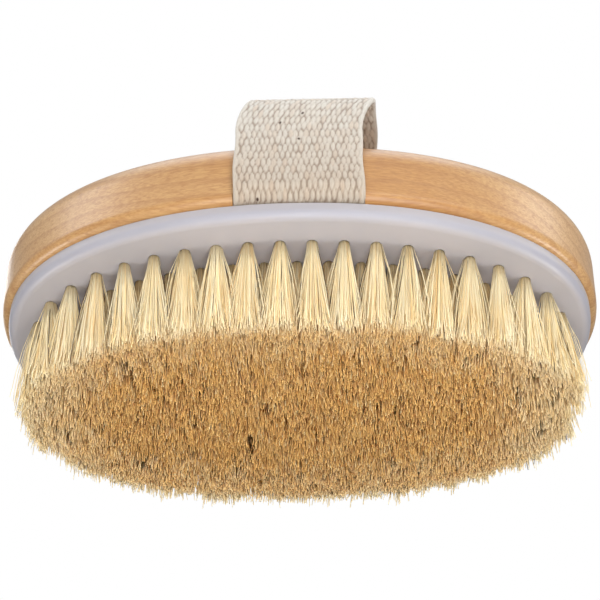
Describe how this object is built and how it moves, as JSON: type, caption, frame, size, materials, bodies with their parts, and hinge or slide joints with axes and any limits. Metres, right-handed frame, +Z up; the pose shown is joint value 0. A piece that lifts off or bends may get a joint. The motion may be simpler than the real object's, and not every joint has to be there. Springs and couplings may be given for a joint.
{
  "type": "body dry brush",
  "caption": "Palm-sized oval body brush: natural bristle tufts in a plastic plate glued to a wooden block, with a cotton webbing hand strap over the back.",
  "frame": {"origin": "middle of the bristle tips, on the surface the brush stands on", "axes": "+X along the oval, -Y the front long side, +Z up through the plate, the block and the strap"},
  "size_m": [0.13, 0.0782, 0.0672],
  "materials": {
    "wood": "sanded pale maple under thin clear lacquer",
    "plate": "milky white moulded plastic, soft sheen",
    "glue": "set clear adhesive",
    "webbing": "undyed cotton webbing, coarse weave",
    "staple_steel": "zinc-plated wire",
    "bristle": "undyed natural hog bristle",
    "anchor_wire": "flat drawn wire"
  },
  "bodies": {
    "brush": {"wood_block": "wood", "bristle_plate": "plate", "plate_glue": "glue", "strap_staples_front": "staple_steel", "strap_staples_rear": "staple_steel", "outer_tufts_front": "bristle", "outer_tufts_rear": "bristle", "outer_tufts_left_end": "bristle", "outer_tufts_right_end": "bristle", "tufts_ring_2": "bristle", "tufts_ring_3": "bristle", "tufts_ring_4": "bristle", "tufts_core": "bristle", "tuft_anchors_ring_1": "anchor_wire", "tuft_anchors_ring_2": "anchor_wire", "tuft_anchors_ring_3": "anchor_wire", "tuft_anchors_ring_4": "anchor_wire", "tuft_anchors_core": "anchor_wire"},
    "strap": {"hand_strap": "webbing"}
  },
  "joints": [
    {"name": "strap_press", "type": "slide", "parent": "brush", "child": "strap", "axis": [0, 0, 1], "range_m": [-0.012, 0], "stiffness_N_per_m": 150, "deforming": ["hand_strap"]}
  ]
}
